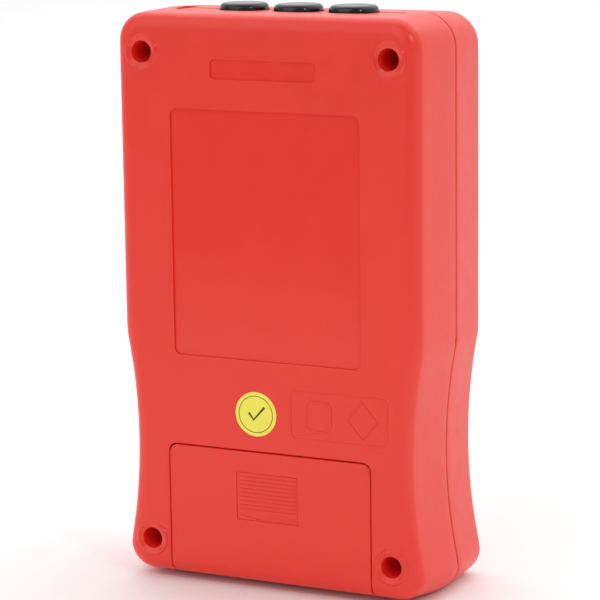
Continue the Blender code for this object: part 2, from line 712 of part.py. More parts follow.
def build():
    red = material("red_plastic", (0.72, 0.055, 0.042), 0.3)
    black = material("black_plastic", (0.02, 0.02, 0.021), 0.35)
    steel = material("steel", (0.6, 0.6, 0.6), 0.3, 1.0)
    green = material("board_green", (0.02, 0.16, 0.05), 0.45)
    make_rear_shell(red)
    make_front_shell(material("red_plastic_front", (0.74, 0.07, 0.055), 0.3))
    make_case_screws(steel)
    make_battery_door(material("red_plastic_door", (0.72, 0.06, 0.045), 0.3))
    make_battery_tray(black)
    middle_y, middle_z = make_battery(material("battery_jacket", (0.05, 0.05, 0.06), 0.4), steel)
    make_snap_connector(middle_y, middle_z, material("snap_vinyl", (0.015, 0.015, 0.015), 0.6))
    lead_x = BATTERY_X[1] + 3.0 * MM
    lead_y = middle_y + 2.0 * MM
    lead_z = middle_z + 12.6 * MM + GAP
    end_y = back_y(MAIN_DEPTH - GAP)
    red_vinyl = material("red_lead", (0.6, 0.02, 0.02), 0.5)
    make_lead("lead_red", (lead_x, lead_y, lead_z), (21 * MM, end_y, 54.5 * MM), red_vinyl)
    make_lead("lead_black", (lead_x, lead_y - 4 * MM, lead_z), (16 * MM, end_y, 54.5 * MM),
              material("black_lead", (0.02, 0.02, 0.02), 0.5))
    make_buttons(material("button_black", (0.02, 0.02, 0.02), 0.25))
    make_switches(green, black)
    make_main_board(green, steel)
    make_board_parts(
        material("chip_black", (0.03, 0.03, 0.03), 0.5),
        material("can_blue", (0.03, 0.05, 0.2), 0.35),
        steel,
    )
    make_display(
        green,
        material("frame_black", (0.03, 0.03, 0.03), 0.35, 0.6),
        material("glass_green", (0.25, 0.4, 0.08), 0.15),
        material("window_clear", (0.5, 0.55, 0.55), 0.05),
    )
    make_socket(
        material("socket_green", (0.03, 0.25, 0.1), 0.4),
        material("lever_steel", (0.65, 0.65, 0.66), 0.25, 1.0),
    )
    make_sticker(material("sticker_yellow", (0.93, 0.78, 0.08), 0.5))


clear_scene()
PARTS = make_collection("component_tester")
CUTTERS = make_collection("cutters")
build()
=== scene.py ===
import json
import math

import bmesh
import bpy
from mathutils import Matrix, Vector

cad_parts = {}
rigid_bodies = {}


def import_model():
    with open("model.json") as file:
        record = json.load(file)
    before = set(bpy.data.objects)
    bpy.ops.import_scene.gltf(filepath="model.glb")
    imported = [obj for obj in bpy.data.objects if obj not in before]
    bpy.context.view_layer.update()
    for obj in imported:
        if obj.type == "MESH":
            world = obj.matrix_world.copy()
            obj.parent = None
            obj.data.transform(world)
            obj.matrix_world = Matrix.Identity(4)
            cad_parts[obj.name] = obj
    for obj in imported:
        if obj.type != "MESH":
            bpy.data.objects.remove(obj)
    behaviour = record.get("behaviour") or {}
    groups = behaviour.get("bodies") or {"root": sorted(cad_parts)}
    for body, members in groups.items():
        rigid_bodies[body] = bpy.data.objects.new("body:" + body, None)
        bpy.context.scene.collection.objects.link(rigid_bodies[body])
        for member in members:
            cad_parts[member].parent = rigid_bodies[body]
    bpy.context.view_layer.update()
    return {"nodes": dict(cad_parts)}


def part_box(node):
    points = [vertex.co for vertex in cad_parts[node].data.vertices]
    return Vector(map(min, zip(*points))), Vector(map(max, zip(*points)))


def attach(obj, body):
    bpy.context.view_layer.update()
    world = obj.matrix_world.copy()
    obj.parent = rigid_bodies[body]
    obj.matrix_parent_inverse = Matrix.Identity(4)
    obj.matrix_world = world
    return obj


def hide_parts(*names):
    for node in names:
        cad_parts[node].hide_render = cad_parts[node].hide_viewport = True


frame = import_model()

# A handheld component tester stands upright with its battery side towards the camera.
# The case's shells, door, caps and sticker are rebuilt here as fine surfaces; the other
# nodes keep their shape. Lengths are in metres. A depth is counted from the back face.

MM = 0.001

DEPTH = 38.0 * MM
HEIGHT = 143.0 * MM
HALF_WIDTH = 41.68 * MM
WALL = 2.2 * MM
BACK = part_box("front_shell")[0][1] + DEPTH
PARTING = 20.5 * MM
HALF_GROOVE = 0.15 * MM
BACK_FILLET = 3.5 * MM
FRONT_FILLET = 3.0 * MM
TOP_CORNER = 8.5 * MM
BOTTOM_CORNER = 6.4 * MM
REAR_DRAFT = 0.072
FRONT_DRAFT = 0.022
TOP_DRAFT = 0.01
TOP_FRONT_DRAFT = 0.06
FOOT_NEAR = 15.5 * MM
FOOT_FAR = 30.0 * MM
FOOT_RISE = 0.129
WAIST_HALF = 38.98 * MM
WAIST_Z = 36.1 * MM
WAIST_ARC = 133.0 * MM
SHOULDER_ARC = 7.0 * MM
STRAIGHT_COLUMNS = 32.6 * MM
GRID = 2.5 * MM
CUT_PAST = 2 * MM
DOOR_LIP = 0.3 * MM

LABEL = (0.0, 89.095 * MM, 25.46 * MM, 30.665 * MM, 1.8 * MM)
LABEL_SUNK = 0.5 * MM
SLOT = (0.0, 129.6 * MM, 14.17 * MM, 2.4 * MM, 1.2 * MM)
SLOT_SUNK = 0.35 * MM
DOOR = (0.0, 7.63 * MM, 27.46 * MM, 27.63 * MM, 2.0 * MM)
DOORWAY = (0.0, 7.84 * MM, 27.76 * MM, 27.84 * MM, 2.3 * MM)
DOOR_WRAP = 12.0 * MM
GRIP = (0.0, 23.98 * MM, 8.85 * MM, 6.16 * MM, 0.5 * MM)
GRIP_SUNK = 0.25 * MM
RIB_HALF = 7.85 * MM
RIB_PITCH = 1.025 * MM
RIB_TOP = 29.6 * MM
RIB_COUNT = 9
POINTER_TOP = 20.7 * MM
POINTER_TAIL = 19.5 * MM
RAIL = (26.2 * MM, 28.1 * MM)

SCREW_X = 33.0 * MM
BORE_R = 2.68 * MM
BORE_DEPTH = 14.9 * MM
BORE_WALL = 0.9 * MM
# The ring's section round a screw hole: radius and height over the back face, in mm.
RING = (
    (2.73, -0.03), (2.88, 0.04), (3.2, 0.13), (3.5, 0.28), (3.7, 0.39), (3.85, 0.45), (4.0, 0.47),
    (4.12, 0.44), (4.24, 0.36), (4.32, 0.25), (4.4, 0.12), (4.5, 0.04), (4.65, -0.03), (4.5, -0.5),
)

WINDOW = (0.0, 106.0 * MM, 30.3 * MM, 16.3 * MM, 3.3 * MM)
WINDOW_DEEP = 1.6 * MM
VIEW = (0.0, 106.0 * MM, 26.0 * MM, 12.5 * MM, 1.5 * MM)
MOUTH = (0.5 * MM, 47.5 * MM, 23.5 * MM, 12.0 * MM, 2.0 * MM)
DISPLAY_PANEL = (0.0, 106.0 * MM, 31.9 * MM, 20.0 * MM, 4.5 * MM)
SOCKET_PANEL = (0.0, 47.5 * MM, 26.5 * MM, 15.5 * MM, 4.0 * MM)
PANEL_GROOVE = (0.6 * MM, 0.4 * MM)
POCKET = (31.0 * MM, 9.75 * MM, 5.0 * MM)
POCKET_FLOOR = HEIGHT - 0.45 * MM
BUTTON_R = 6.1 * MM
BUTTON_EDGE = 1.25 * MM
FLANGE_R = 7.05 * MM

# The moulded frame's centre height, and the centres and half sizes of what is in it.
MARKS_Z = 45.9 * MM
MARKS_FRAME = (-19.3 * MM, 12.9 * MM, 5.9 * MM, 1.5 * MM)
MARKS_SQUARE = (-13.9 * MM, 3.3 * MM, 3.7 * MM, 1.6 * MM)
MARKS_DIAMOND = (-25.6 * MM, 4.0 * MM, 4.6 * MM)

STICKER_TOP = 0.12 * MM
STICKER_RING_R = 4.6 * MM

CAMERA_PLACE = (-0.275742, 0.565703, 0.191136)
CAMERA_YAW = math.radians(25.979)
CAMERA_PITCH = math.radians(10.848)
CAMERA_ROLL = math.radians(-0.728)
CAMERA_LENS = 153.87


# Case outline


def draw_in(depth):
    """How far the outer surface lies inside the parting line's outline: side, bottom, top."""
    rear = max(0.0, PARTING - depth)
    front = max(0.0, depth - PARTING)
    side = rear * REAR_DRAFT + front * FRONT_DRAFT
    top = rear * TOP_DRAFT + front * TOP_FRONT_DRAFT
    bottom = max(0.0, FOOT_NEAR - depth) * FOOT_RISE + max(0.0, depth - FOOT_FAR) * FRONT_DRAFT
    return side, bottom, top


class Outline:
    """The case's closed outline at one depth, inset from the outer surface.

    Its right half has seven sections, from the middle of the bottom edge to the middle of the
    top edge: bottom, corner, waist, shoulder, side, corner, top."""

    def __init__(self, depth, inset):
        side, bottom, top = draw_in(depth)
        self.y = BACK - depth
        self.half = HALF_WIDTH - side - inset
        self.bottom = bottom + inset
        self.top = HEIGHT - top - inset
        self.low_r = BOTTOM_CORNER - inset
        self.high_r = TOP_CORNER - side - inset
        self.shoulder_r = SHOULDER_ARC - side - inset
        self.waist_r = WAIST_ARC + side + inset
        self.waist_x = WAIST_HALF + WAIST_ARC
        self.low_z = self.bottom + self.low_r
        self.low = math.asin((WAIST_Z - self.low_z) / (self.waist_r + self.low_r))
        self.low_x = self.waist_x - (self.waist_r + self.low_r) * math.cos(self.low)
        reach = self.waist_r + self.shoulder_r
        self.high = math.acos((self.waist_x - self.half + self.shoulder_r) / reach)
        self.shoulder_z = WAIST_Z + reach * math.sin(self.high)
        self.high_z = self.top - self.high_r
        self.top_x = self.half - self.high_r

    def arc(self, x, z, radius, turn):
        return x + radius * math.cos(turn), z + radius * math.sin(turn)

    def point(self, section, share, sign):
        if section == 0:
            x, z = self.low_x * share, self.bottom
        elif section == 1:
            turn = -math.pi / 2 + (self.low + math.pi / 2) * share
            x, z = self.arc(self.low_x, self.low_z, self.low_r, turn)
        elif section == 2:
            turn = math.pi + self.low - (self.low + self.high) * share
            x, z = self.arc(self.waist_x, WAIST_Z, self.waist_r, turn)
        elif section == 3:
            turn = -self.high * (1 - share)
            x, z = self.arc(self.half - self.shoulder_r, self.shoulder_z, self.shoulder_r, turn)
        elif section == 4:
            x, z = self.half, self.shoulder_z + (self.high_z - self.shoulder_z) * share
        elif section == 5:
            x, z = self.arc(self.top_x, self.high_z, self.high_r, math.pi / 2 * share)
        else:
            x, z = self.top_x * share, self.top
        return Vector((sign * x, self.y, z))

    def place(self, z):
        """The section and the share along it of the side point at a height."""
        low_end = self.low_z + self.low_r * math.sin(self.low)
        waist_end = WAIST_Z + self.waist_r * math.sin(self.high)
        if z <= low_end:
            turn = math.asin(max(-1.0, (z - self.low_z) / self.low_r))
            return 1, (turn + math.pi / 2) / (self.low + math.pi / 2)
        if z <= waist_end:
            turn = math.asin((z - WAIST_Z) / self.waist_r)
            return 2, (turn + self.low) / (self.low + self.high)
        if z <= self.shoulder_z:
            turn = math.asin((self.shoulder_z - z) / self.shoulder_r)
            return 3, 1 - turn / self.high
        if z <= self.high_z:
            return 4, (z - self.shoulder_z) / (self.high_z - self.shoulder_z)
        turn = math.asin(min(1.0, (z - self.high_z) / self.high_r))
        return 5, turn / (math.pi / 2)


# Surface detail, as distances and depths


def rounded(x, z, spec):
    """Signed distance to a rounded rectangle, negative inside.

    Its spec is (centre x, centre z, half x, half z, corner), as for every outline here."""
    centre_x, centre_z, half_x, half_z, corner = spec
    over_x = abs(x - centre_x) - half_x + corner
    over_z = abs(z - centre_z) - half_z + corner
    return math.hypot(max(over_x, 0.0), max(over_z, 0.0)) + min(max(over_x, over_z), 0.0) - corner


def lip(distance, radius):
    """How far a rounded edge has dropped at a distance from it."""
    near = min(1.0, max(0.0, 1.0 - distance / radius))
    return radius * (1 - math.sqrt(1 - 0.98 * near * near))


def groove(distance, half_width, deep):
    return deep * 0.5 * (1 + math.cos(math.pi * min(1.0, abs(distance) / half_width)))


def back_detail(x, z, depth):
    if depth > DOOR_WRAP + CUT_PAST:
        return 0.0
    return lip(rounded(x, z, DOORWAY), DOOR_LIP)


def door_detail(x, z, _depth):
    return lip(-rounded(x, z, DOOR), DOOR_LIP)


def front_detail(x, z, depth):
    if depth < DEPTH - 1 * MM:
        return 0.0
    deep = lip(rounded(x, z, WINDOW), 0.4 * MM) + lip(rounded(x, z, MOUTH), 0.6 * MM)
    for panel in (DISPLAY_PANEL, SOCKET_PANEL):
        deep += groove(rounded(x, z, panel), *PANEL_GROOVE)
    return deep


# Shell surfaces


def grid_lines(low, high, edges):
    """Lines from low to high: evenly spread, and close together round each edge."""
    count = max(1, round((high - low) / GRID))
    near = [s * d * MM for s in (-1, 1) for d in (0.08, 0.24, 0.4, 0.6, 0.9)]
    lines = [edge + step for edge in edges for step in near]
    busy = sorted(lines)
    for i in range(count + 1):
        line = low + (high - low) * i / count
        if all(abs(line - other) > GRID * 0.4 for other in busy):
            lines.append(line)
    kept = [low]
    for line in sorted(lines):
        if line > kept[-1] + 0.07 * MM and line < high - 0.07 * MM:
            kept.append(line)
    return kept + [high]


def corner_lines(start, radius, way):
    """Heights of points spread evenly along a quarter corner."""
    return [start + way * radius * (1 - math.cos(math.pi / 2 * i / 9)) for i in range(1, 10)]


def rear_stations():
    """(depth, inset) from the back face's edge to the parting line."""
    return shell_stations(0.0, 1.0, BACK_FILLET, PARTING - HALF_GROOVE)


def front_stations():
    return shell_stations(DEPTH, -1.0, FRONT_FILLET, PARTING + HALF_GROOVE)


def shell_stations(face, inward, radius, rim):
    stations = []
    for i in range(1, 11):
        turn = math.pi / 2 * i / 10
        stations.append((face + inward * radius * (1 - math.cos(turn)), radius * (1 - math.sin(turn))))
    start = face + inward * radius
    for i in range(1, 7):
        stations.append((start + (rim - inward * 0.5 * MM - start) * i / 6, 0.0))
    for along, inset in ((0.3, 0.02), (0.15, 0.08), (0.05, 0.17), (0.0, 0.3)):
        stations.append((rim - inward * along * MM, inset * MM))
    return stations


def shell_solid(name, face, radius, stations, edges, detail):
    """A shell with walls: a grid over its flat face, rings round its fillet and sides, an inner skin.

    The grid is closer round each of the edges, which are distances from the middle and heights."""
    flat = Outline(face, radius)
    rows = flat_rows(flat, edges[1])
    work = bmesh.new()
    grid = flat_grid(work, flat, flat_columns(flat, edges[0]), rows)
    loop = flat_border(grid, flat, rows)
    previous = [vert for vert, _, _ in loop]
    for depth, inset in stations:
        outline = Outline(depth, inset)
        ring = []
        for vert, section, share in loop:
            sign = -1 if vert.co.x < 0 else 1
            ring.append(work.verts.new(outline.point(section, share, sign)))
        bridge(work, previous, ring)
        previous = ring
    add_inner_skin(work, previous, detail)
    return link_work(name, work)


def flat_columns(flat, edges):
    """Columns of the flat face's grid: straight ones, then six that bend with the case's side."""
    straight = grid_lines(0.0, STRAIGHT_COLUMNS, edges)
    bent = [STRAIGHT_COLUMNS + (flat.half - STRAIGHT_COLUMNS) * i / 6 for i in range(1, 7)]
    right = straight[1:] + bent
    return [-x for x in reversed(right)] + [0.0] + right


def flat_rows(flat, edges):
    corners = corner_lines(flat.bottom, flat.low_r, 1) + corner_lines(flat.top, flat.high_r, -1)
    rows = grid_lines(flat.bottom, flat.top, edges)
    inner_rows = [z for z in rows[1:-1] if all(abs(z - c) > 0.3 * MM for c in corners)]
    return [flat.bottom] + sorted(inner_rows + corners[:-1]) + [flat.top]


def flat_edge(flat, z):
    """Half the flat face's width at a height."""
    if z == flat.bottom:
        return flat.low_x
    if z == flat.top:
        return flat.top_x
    section, share = flat.place(z)
    return flat.point(section, share, 1).x


def flat_grid(work, flat, columns, rows):
    grid = []
    for z in rows:
        edge = flat_edge(flat, z)
        line = []
        for x in columns:
            if abs(x) > STRAIGHT_COLUMNS:
                along = (abs(x) - STRAIGHT_COLUMNS) / (flat.half - STRAIGHT_COLUMNS)
                x = math.copysign(STRAIGHT_COLUMNS + (edge - STRAIGHT_COLUMNS) * along, x)
            line.append(work.verts.new((x, flat.y, z)))
        grid.append(line)
    for low, high in zip(grid, grid[1:]):
        for i in range(len(columns) - 1):
            work.faces.new((low[i], low[i + 1], high[i + 1], high[i]))
    return grid


def flat_border(grid, flat, rows):
    """The grid's border points in order, each with its section and share along the outline."""
    last = len(grid[0]) - 1
    loop = [(grid[0][i], 0, abs(grid[0][i].co.x) / flat.low_x) for i in range(last + 1)]
    loop += [(grid[j][last], *flat.place(rows[j])) for j in range(1, len(rows) - 1)]
    loop += [(grid[-1][i], 6, abs(grid[-1][i].co.x) / flat.top_x) for i in range(last, -1, -1)]
    loop += [(grid[j][0], *flat.place(rows[j])) for j in range(len(rows) - 2, 0, -1)]
    return loop


def add_inner_skin(work, rim, detail):
    """Turns the open skin into a wall: an inner copy a wall's thickness in, joined to it round the rim."""
    bmesh.ops.recalc_face_normals(work, faces=work.faces)
    centre = Vector((0.0, 0.0, HEIGHT / 2))
    work.faces.ensure_lookup_table()
    if work.faces[0].normal.dot(work.faces[0].calc_center_median() - centre) < 0:
        bmesh.ops.reverse_faces(work, faces=work.faces)
    work.normal_update()
    outer = list(work.verts)
    faces = list(work.faces)
    inner = {}
    for vert in outer:
        inner[vert] = work.verts.new(vert.co - vert.normal * WALL)
    for face in faces:
        work.faces.new([inner[v] for v in reversed(face.verts)])
    bridge(work, rim, [inner[vert] for vert in rim])
    for vert in outer:
        deep = detail(vert.co.x, vert.co.z, BACK - vert.co.y)
        if deep:
            vert.co -= vert.normal * deep
    bmesh.ops.recalc_face_normals(work, faces=work.faces)


# Helpers for pieces


def link(name, data):
    made = bpy.data.objects.new(name, data)
    bpy.context.scene.collection.objects.link(made)
    return made


def link_work(name, work):
    """Turns a finished bmesh into a linked object."""
    mesh = bpy.data.meshes.new(name)
    work.to_mesh(mesh)
    work.free()
    return link(name, mesh)


def bridge(work, near, far):
    """Joins two closed rings of as many points with faces."""
    for i in range(len(near)):
        j = (i + 1) % len(near)
        work.faces.new((near[i], near[j], far[j], far[i]))


def bake(made, sharp=40):
    """Applies a piece's modifiers and shades it smooth up to an angle."""
    graph = bpy.context.evaluated_depsgraph_get()
    mesh = bpy.data.meshes.new_from_object(made.evaluated_get(graph))
    made.modifiers.clear()
    old = made.data
    if made.type == "MESH":
        made.data = mesh
        result = made
    else:
        name = made.name
        place = made.matrix_world.copy()
        bpy.data.objects.remove(made)
        result = link(name, mesh)
        result.matrix_world = place
    if not old.users:
        bpy.data.batch_remove([old])
    mesh.shade_smooth()
    mesh.set_sharp_from_angle(angle=math.radians(sharp))
    return result


def carve(made, cutters, operation="DIFFERENCE"):
    for cutter in cutters:
        step = made.modifiers.new(cutter.name, "BOOLEAN")
        step.operation = operation
        step.solver = "MANIFOLD"
        step.object = cutter
    result = bake(made, 48)
    for cutter in cutters:
        bpy.data.objects.remove(cutter)
    return result


def block(name, low, high, corner=0.0, axis=1, segments=8):
    """A box between two corners, its four edges along an axis rounded."""
    low = Vector(low)
    high = Vector(high)
    work = bmesh.new()
    bmesh.ops.create_cube(work, size=1.0)
    bmesh.ops.scale(work, vec=high - low, verts=work.verts)
    bmesh.ops.translate(work, vec=(low + high) / 2, verts=work.verts)
    if corner:
        edges = []
        for edge in work.edges:
            along = (edge.verts[0].co - edge.verts[1].co).normalized()
            if abs(along[axis]) > 0.99:
                edges.append(edge)
        bmesh.ops.bevel(work, geom=edges, offset=corner, segments=segments, profile=0.5, affect="EDGES")
    bmesh.ops.recalc_face_normals(work, faces=work.faces)
    return link_work(name, work)


def plate_cutter(name, spec, near, far):
    """A rounded plate with an outline's shape, between two depths."""
    centre_x, centre_z, half_x, half_z, corner = spec
    low = (centre_x - half_x, BACK - far, centre_z - half_z)
    high = (centre_x + half_x, BACK - near, centre_z + half_z)
    return block(name, low, high, corner, segments=12)


def rod(name, start, radius, length, axis):
    """A round cutter from a start point along an axis."""
    work = bmesh.new()
    bmesh.ops.create_cone(work, cap_ends=True, segments=64, radius1=radius, radius2=radius, depth=length)
    turn = Vector((0, 0, 1)).rotation_difference(Vector(axis)).to_matrix().to_4x4()
    shift = Matrix.Translation(Vector(start) + Vector(axis) * length / 2)
    bmesh.ops.transform(work, matrix=shift @ turn, verts=work.verts)
    return link_work(name, work)


def turned(name, profile, centre, axis, sides=96, closed=False, sharp=40):
    """A surface of revolution about an axis through centre from (radius, height) points."""
    work = bmesh.new()
    along = Vector(axis)
    turn = Vector((0, 0, 1)).rotation_difference(along)
    rings = []
    for radius, height in profile:
        if radius == 0:
            rings.append([work.verts.new((0, 0, height))])
            continue
        angles = [2 * math.pi * i / sides for i in range(sides)]
        rings.append([work.verts.new((radius * math.cos(a), radius * math.sin(a), height)) for a in angles])
    pairs = list(zip(rings, rings[1:]))
    if closed:
        pairs.append((rings[-1], rings[0]))
    for upper, lower in pairs:
        for i in range(sides):
            j = (i + 1) % sides
            corners = [upper[i % len(upper)], upper[j % len(upper)]]
            corners += [lower[j % len(lower)], lower[i % len(lower)]]
            unique = list(dict.fromkeys(corners))
            if len(unique) > 2:
                work.faces.new(unique)
    bmesh.ops.recalc_face_normals(work, faces=work.faces)
    bmesh.ops.rotate(work, cent=(0, 0, 0), matrix=turn.to_matrix(), verts=work.verts)
    bmesh.ops.translate(work, vec=Vector(centre), verts=work.verts)
    made = link_work(name, work)
    made.data.shade_smooth()
    made.data.set_sharp_from_angle(angle=math.radians(sharp))
    return made


def tube(name, points, radius, cyclic=False):
    data = bpy.data.curves.new(name, "CURVE")
    data.dimensions = "3D"
    data.bevel_depth = radius
    data.bevel_resolution = 4
    data.use_fill_caps = not cyclic
    line = data.splines.new("POLY")
    line.points.add(len(points) - 1)
    for slot, point in zip(line.points, points):
        slot.co = (*point, 1.0)
    line.use_cyclic_u = cyclic
    return bake(link(name, data), 60)


def finish_piece(piece, body, slot, paint, *nodes):
    piece.data.materials.clear()
    piece.data.materials.append(paint)
    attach(piece, body)
    if nodes:
        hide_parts(*nodes)


# Materials


def new_material(name, roughness, metallic=0.0):
    made = bpy.data.materials.new(name)
    made.use_nodes = True
    nodes = made.node_tree.nodes
    shader = nodes["Principled BSDF"]
    shader.inputs["Roughness"].default_value = roughness
    shader.inputs["Metallic"].default_value = metallic
    return made, made.node_tree, shader


def noise(tree, scale, detail=2.0, stretch=(1, 1, 1)):
    """A noise pattern fixed to the piece, its scale in features per metre."""
    place = tree.nodes.new("ShaderNodeTexCoord")
    mapping = tree.nodes.new("ShaderNodeMapping")
    mapping.inputs["Scale"].default_value = stretch
    pattern = tree.nodes.new("ShaderNodeTexNoise")
    pattern.inputs["Scale"].default_value = scale
    pattern.inputs["Detail"].default_value = detail
    tree.links.new(place.outputs["Object"], mapping.inputs["Vector"])
    tree.links.new(mapping.outputs["Vector"], pattern.inputs["Vector"])
    return pattern.outputs["Fac"]


def ramp(tree, factor, stops):
    """A colour ramp from (position, colour) stops."""
    made = tree.nodes.new("ShaderNodeValToRGB")
    elements = made.color_ramp.elements
    for element, (position, colour) in zip(elements, (stops[0], stops[-1])):
        element.position = position
        element.color = (*colour, 1.0)
    for position, colour in stops[1:-1]:
        element = elements.new(position)
        element.color = (*colour, 1.0)
    tree.links.new(factor, made.inputs["Fac"])
    return made.outputs["Color"]


def spread(tree, factor, low, high):
    """Maps a 0 to 1 pattern to a span of values."""
    made = tree.nodes.new("ShaderNodeMapRange")
    made.inputs["From Min"].default_value = 0.3
    made.inputs["From Max"].default_value = 0.7
    made.inputs["To Min"].default_value = low
    made.inputs["To Max"].default_value = high
    tree.links.new(factor, made.inputs["Value"])
    return made.outputs["Result"]


def add_bump(tree, shader, height, strength, distance):
    bump = tree.nodes.new("ShaderNodeBump")
    bump.inputs["Strength"].default_value = strength
    bump.inputs["Distance"].default_value = distance
    tree.links.new(height, bump.inputs["Height"])
    tree.links.new(bump.outputs["Normal"], shader.inputs["Normal"])


def scaled(colour, by):
    return tuple(min(1.0, c * by) for c in colour)


def moulded(name, colour, roughness, grain=1100.0, strength=0.02, mottling=0.015):
    """Moulded plastic: faint mottling, uneven gloss and a fine spark-eroded grain."""
    made, tree, shader = new_material(name, roughness)
    cloud = noise(tree, 60.0, 3.0)
    stops = [(0.3, scaled(colour, 1 - mottling)), (0.7, scaled(colour, 1 + mottling))]
    tree.links.new(ramp(tree, cloud, stops), shader.inputs["Base Color"])
    gloss = noise(tree, 240.0, 4.0)
    tree.links.new(spread(tree, gloss, roughness - 0.04, roughness + 0.05), shader.inputs["Roughness"])
    add_bump(tree, shader, noise(tree, grain, 2.0), strength, 0.0001)
    return made


def metal(name, colour, roughness, stretch=(1, 1, 12)):
    """Drawn or rolled metal with fine lines along one direction."""
    made, tree, shader = new_material(name, roughness, 1.0)
    lines = noise(tree, 900.0, 3.0, stretch)
    stops = [(0.3, scaled(colour, 0.9)), (0.7, scaled(colour, 1.08))]
    tree.links.new(ramp(tree, lines, stops), shader.inputs["Base Color"])
    tree.links.new(spread(tree, lines, roughness - 0.06, roughness + 0.1), shader.inputs["Roughness"])
    add_bump(tree, shader, lines, 0.08, 0.00005)
    return made


def circuit_board(name):
    """Green solder mask with lighter copper runs under it."""
    made, tree, shader = new_material(name, 0.4)
    place = tree.nodes.new("ShaderNodeTexCoord")
    cells = tree.nodes.new("ShaderNodeTexBrick")
    cells.inputs["Scale"].default_value = 160.0
    cells.inputs["Mortar Size"].default_value = 0.06
    cells.inputs["Color1"].default_value = (0.01, 0.10, 0.035, 1)
    cells.inputs["Color2"].default_value = (0.012, 0.13, 0.045, 1)
    cells.inputs["Mortar"].default_value = (0.03, 0.23, 0.08, 1)
    turn = tree.nodes.new("ShaderNodeMapping")
    turn.inputs["Rotation"].default_value = (math.pi / 2, 0, 0)
    tree.links.new(place.outputs["Object"], turn.inputs["Vector"])
    tree.links.new(turn.outputs["Vector"], cells.inputs["Vector"])
    tree.links.new(cells.outputs["Color"], shader.inputs["Base Color"])
    add_bump(tree, shader, cells.outputs["Fac"], 0.2, 0.00003)
    return made


def banded(name, stops, roughness, low, high):
    """Colour bands between two places along the piece's X axis."""
    made, tree, shader = new_material(name, roughness)
    place = tree.nodes.new("ShaderNodeTexCoord")
    split = tree.nodes.new("ShaderNodeSeparateXYZ")
    along = tree.nodes.new("ShaderNodeMapRange")
    along.inputs["From Min"].default_value = low
    along.inputs["From Max"].default_value = high
    tree.links.new(place.outputs["Object"], split.inputs["Vector"])
    tree.links.new(split.outputs["X"], along.inputs["Value"])
    colours = ramp(tree, along.outputs["Result"], stops)
    colours.node.color_ramp.interpolation = "CONSTANT"
    tree.links.new(colours, shader.inputs["Base Color"])
    add_bump(tree, shader, noise(tree, 1500.0), 0.05, 0.00005)
    return made


def clear_glass(name, colour, roughness):
    made, tree, shader = new_material(name, roughness)
    shader.inputs["Transmission Weight"].default_value = 1.0
    shader.inputs["IOR"].default_value = 1.3
    stops = [(0.3, scaled(colour, 0.99)), (0.7, colour)]
    tree.links.new(ramp(tree, noise(tree, 80.0), stops), shader.inputs["Base Color"])
    return made


RED = (0.85, 0.037, 0.020)
red_rear = moulded("red_plastic_rear", RED, 0.34)
red_door = moulded("red_plastic_door", RED, 0.34)
red_front = moulded("red_plastic_front", RED, 0.34)
red_polished = moulded("red_plastic_polished", RED, 0.2, strength=0.008)
# The bore's colour is a brighter, more saturated copy of the shell's red: painted glow standing in for
# light shining through the thin plastic round each screw hole, not a colour of the plastic's own.
red_bore_glow = moulded("red_plastic_bore_painted_glow", (0.96, 0.02, 0.008), 0.6)
black_gloss = moulded("black_cap_plastic", (0.006, 0.006, 0.007), 0.2, 700.0, 0.003, 0.1)
black_matt = moulded("black_inner_plastic", (0.02, 0.02, 0.021), 0.5, 2000.0, 0.1, 0.1)
vinyl = moulded("black_vinyl", (0.014, 0.014, 0.015), 0.55, 900.0, 0.1, 0.1)
red_lead = moulded("red_lead_insulation", (0.5, 0.012, 0.01), 0.4, 900.0, 0.05)
sticker_paper = moulded("sticker_film", (0.95, 0.86, 0.10), 0.42, 1200.0, 0.04, 0.02)
sticker_ink = moulded("sticker_ink", (0.09, 0.085, 0.02), 0.5)
steel = metal("bright_steel", (0.62, 0.62, 0.61), 0.36)
lever_steel = metal("lever_steel", (0.7, 0.7, 0.69), 0.35, (12, 1, 1))
board_green = circuit_board("circuit_board")
frame_black = metal("display_frame_black", (0.03, 0.03, 0.032), 0.4)
can_blue = moulded("capacitor_sleeve", (0.02, 0.035, 0.15), 0.34)
socket_green = moulded("socket_plastic", (0.02, 0.13, 0.06), 0.42, 1800.0, 0.08, 0.05)
window_clear = clear_glass("window_clear", (0.97, 0.99, 0.98), 0.03)


# Case shells


def screw_heights():
    return [(c[2] + d[2]) / 2 for c, d in (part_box(f"case_screw_{i}") for i in (1, 3))]


def pocket_cutters():
    half_x, half_y, corner = POCKET
    middle = BACK - PARTING
    low = (-half_x, middle - half_y, POCKET_FLOOR)
    high = (half_x, middle + half_y, HEIGHT + 3 * MM)
    cutters = [block("pocket", low, high, corner, axis=2)]
    for i, node in enumerate(("button_left", "button_middle", "button_right")):
        low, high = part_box(node)
        centre = ((low[0] + high[0]) / 2, middle, HEIGHT - 6 * MM)
        cutters.append(rod(f"hole_{i}", centre, BUTTON_R + 0.25 * MM, 10 * MM, (0, 0, 1)))
    return cutters


